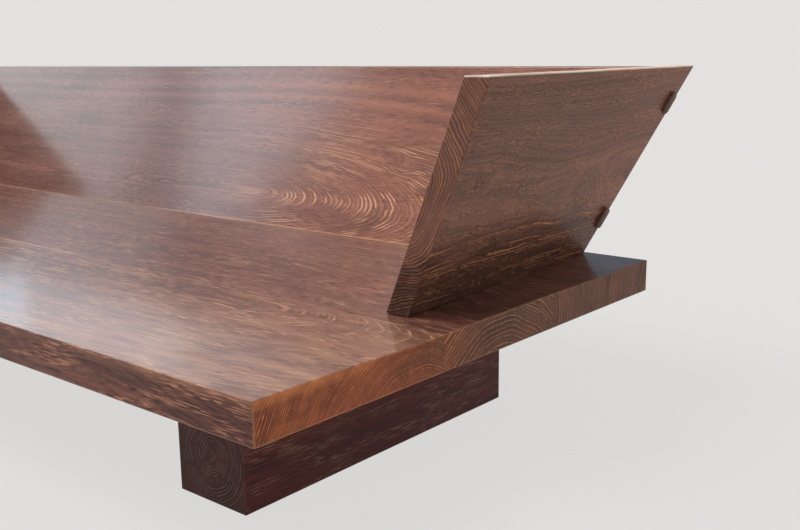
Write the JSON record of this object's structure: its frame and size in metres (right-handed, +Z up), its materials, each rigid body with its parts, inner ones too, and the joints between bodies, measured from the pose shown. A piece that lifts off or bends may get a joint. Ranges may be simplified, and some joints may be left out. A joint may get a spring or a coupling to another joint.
{
  "type": "teak sofa",
  "caption": "Low solid-wood sofa: a thick slab seat on two beams, with a leaning back board between leaning arm boards, held by rails tenoned through the arms.",
  "frame": {"origin": "on the floor, under the middle of the sofa's box", "axes": "+X to the right as seen from the front, -Y towards the front, +Z up"},
  "size_m": [2.5922, 1.1634, 0.6253],
  "materials": {
    "seat_wood": "satin",
    "back_wood": "satin",
    "arm_wood": "satin",
    "rail_wood": "satin",
    "leg_wood": "satin",
    "tenon_wood": "satin",
    "plug_wood": "satin",
    "screw_steel": "satin"
  },
  "bodies": {
    "root": {"seat_board_front": "seat_wood", "seat_board_middle": "seat_wood", "seat_board_rear": "seat_wood", "back_board": "back_wood", "arm_left": "arm_wood", "arm_right": "arm_wood", "back_rail_lower": "rail_wood", "back_rail_upper": "rail_wood", "leg_beam_left": "leg_wood", "leg_beam_right": "leg_wood", "seat_tongue_front": "tenon_wood", "seat_tongue_rear": "tenon_wood", "arm_tenon_left_1": "tenon_wood", "arm_tenon_left_2": "tenon_wood", "arm_tenon_right_1": "tenon_wood", "arm_tenon_right_2": "tenon_wood", "back_foot_tenon_1": "tenon_wood", "back_foot_tenon_2": "tenon_wood", "back_foot_tenon_3": "tenon_wood", "back_foot_tenon_4": "tenon_wood", "back_end_tenon_left_1": "tenon_wood", "back_end_tenon_left_2": "tenon_wood", "back_end_tenon_right_1": "tenon_wood", "back_end_tenon_right_2": "tenon_wood", "rail_plug_lower_1": "plug_wood", "rail_plug_lower_2": "plug_wood", "rail_plug_lower_3": "plug_wood", "rail_plug_lower_4": "plug_wood", "rail_plug_upper_1": "plug_wood", "rail_plug_upper_2": "plug_wood", "rail_plug_upper_3": "plug_wood", "rail_plug_upper_4": "plug_wood", "leg_screw_left_1": "screw_steel", "leg_screw_left_2": "screw_steel", "leg_screw_left_3": "screw_steel", "leg_screw_right_1": "screw_steel", "leg_screw_right_2": "screw_steel", "leg_screw_right_3": "screw_steel", "leg_washer_left_1": "screw_steel", "leg_washer_left_2": "screw_steel", "leg_washer_left_3": "screw_steel", "leg_washer_right_1": "screw_steel", "leg_washer_right_2": "screw_steel", "leg_washer_right_3": "screw_steel", "rail_screw_lower_1": "screw_steel", "rail_screw_lower_2": "screw_steel", "rail_screw_lower_3": "screw_steel", "rail_screw_lower_4": "screw_steel", "rail_screw_upper_1": "screw_steel", "rail_screw_upper_2": "screw_steel", "rail_screw_upper_3": "screw_steel", "rail_screw_upper_4": "screw_steel"}
  },
  "joints": []
}
